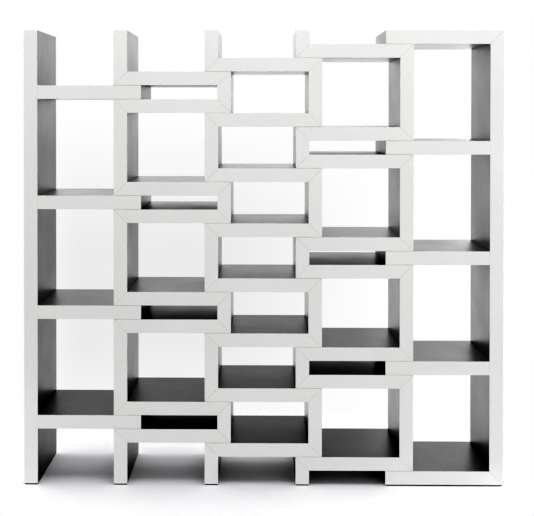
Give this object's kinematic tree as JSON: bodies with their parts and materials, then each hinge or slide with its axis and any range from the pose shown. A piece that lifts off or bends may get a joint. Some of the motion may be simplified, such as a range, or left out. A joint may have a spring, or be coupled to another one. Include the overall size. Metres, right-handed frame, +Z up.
{
  "type": "expanding zigzag bookcase",
  "caption": "Free-standing open bookcase of thick boards folded into zigzag sections that nest in each other and slide sideways to set its width.",
  "frame": {"origin": "on the floor, in the middle of the bookcase's width and depth as it stands pulled out", "axes": "+X to the right as seen from the front, towards the frame-shaped end section; the front faces -Y; +Z up"},
  "size_m": [2.1834, 0.35, 2.076],
  "materials": {
    "dark_laminate": "satin",
    "white_edge": "satin",
    "black_felt": "matte"
  },
  "bodies": {
    "left_end": {"left_end_glide": "black_felt", "left_end_side_panel": "dark_laminate", "left_end_shelf_1": "dark_laminate", "left_end_shelf_2": "dark_laminate", "left_end_shelf_3": "dark_laminate", "left_end_shelf_4": "dark_laminate"},
    "zigzag_1": {"zigzag_1_glide": "black_felt", "zigzag_1_leg": "dark_laminate", "zigzag_1_lower_board_and_post_1": "dark_laminate", "zigzag_1_upper_board_1": "dark_laminate", "zigzag_1_left_post_1": "dark_laminate", "zigzag_1_lower_board_and_post_2": "dark_laminate", "zigzag_1_upper_board_2": "dark_laminate", "zigzag_1_left_post_2": "dark_laminate", "zigzag_1_lower_board_and_post_3": "dark_laminate", "zigzag_1_upper_board_3": "dark_laminate", "zigzag_1_left_post_3": "dark_laminate", "zigzag_1_lower_board_and_post_4": "dark_laminate", "zigzag_1_upper_board_4": "dark_laminate", "zigzag_1_top_fin": "dark_laminate"},
    "zigzag_2": {"zigzag_2_glide": "black_felt", "zigzag_2_leg": "dark_laminate", "zigzag_2_lower_board_1": "dark_laminate", "zigzag_2_right_post_1": "dark_laminate", "zigzag_2_upper_board_1": "dark_laminate", "zigzag_2_left_post_1": "dark_laminate", "zigzag_2_lower_board_2": "dark_laminate", "zigzag_2_right_post_2": "dark_laminate", "zigzag_2_upper_board_2": "dark_laminate", "zigzag_2_left_post_2": "dark_laminate", "zigzag_2_lower_board_3": "dark_laminate", "zigzag_2_right_post_3": "dark_laminate", "zigzag_2_upper_board_3": "dark_laminate", "zigzag_2_left_post_3": "dark_laminate", "zigzag_2_lower_board_4": "dark_laminate", "zigzag_2_right_post_4": "dark_laminate", "zigzag_2_upper_board_4": "dark_laminate", "zigzag_2_top_fin": "dark_laminate"},
    "zigzag_3": {"zigzag_3_glide": "black_felt", "zigzag_3_leg": "dark_laminate", "zigzag_3_lower_board_1": "dark_laminate", "zigzag_3_right_post_1": "dark_laminate", "zigzag_3_upper_board_and_post_1": "dark_laminate", "zigzag_3_lower_board_2": "dark_laminate", "zigzag_3_right_post_2": "dark_laminate", "zigzag_3_upper_board_and_post_2": "dark_laminate", "zigzag_3_lower_board_3": "dark_laminate", "zigzag_3_right_post_3": "dark_laminate", "zigzag_3_upper_board_and_post_3": "dark_laminate", "zigzag_3_lower_board_4": "dark_laminate", "zigzag_3_right_post_4": "dark_laminate", "zigzag_3_upper_board_4": "dark_laminate", "zigzag_3_top_fin": "dark_laminate"},
    "right_end": {"right_end_glide": "black_felt", "right_end_base_board": "dark_laminate", "right_end_side_panel": "dark_laminate", "right_end_top_board": "dark_laminate", "right_end_shelf_1": "dark_laminate", "right_end_shelf_2": "dark_laminate", "right_end_shelf_3": "dark_laminate"}
  },
  "joints": [
    {"name": "zigzag_1_slide", "type": "slide", "parent": "zigzag_2", "child": "zigzag_1", "axis": [-1, 0, 0], "range_m": [-0.35225, 0]},
    {"name": "left_end_slide", "type": "slide", "parent": "zigzag_1", "child": "left_end", "axis": [-1, 0, 0], "range_m": [-0.34697, 0.00528]},
    {"name": "zigzag_3_slide", "type": "slide", "parent": "zigzag_2", "child": "zigzag_3", "axis": [1, 0, 0], "range_m": [-0.35225, 0]},
    {"name": "right_end_slide", "type": "slide", "parent": "zigzag_3", "child": "right_end", "axis": [1, 0, 0], "range_m": [-0.34591, 0.00634]}
  ]
}
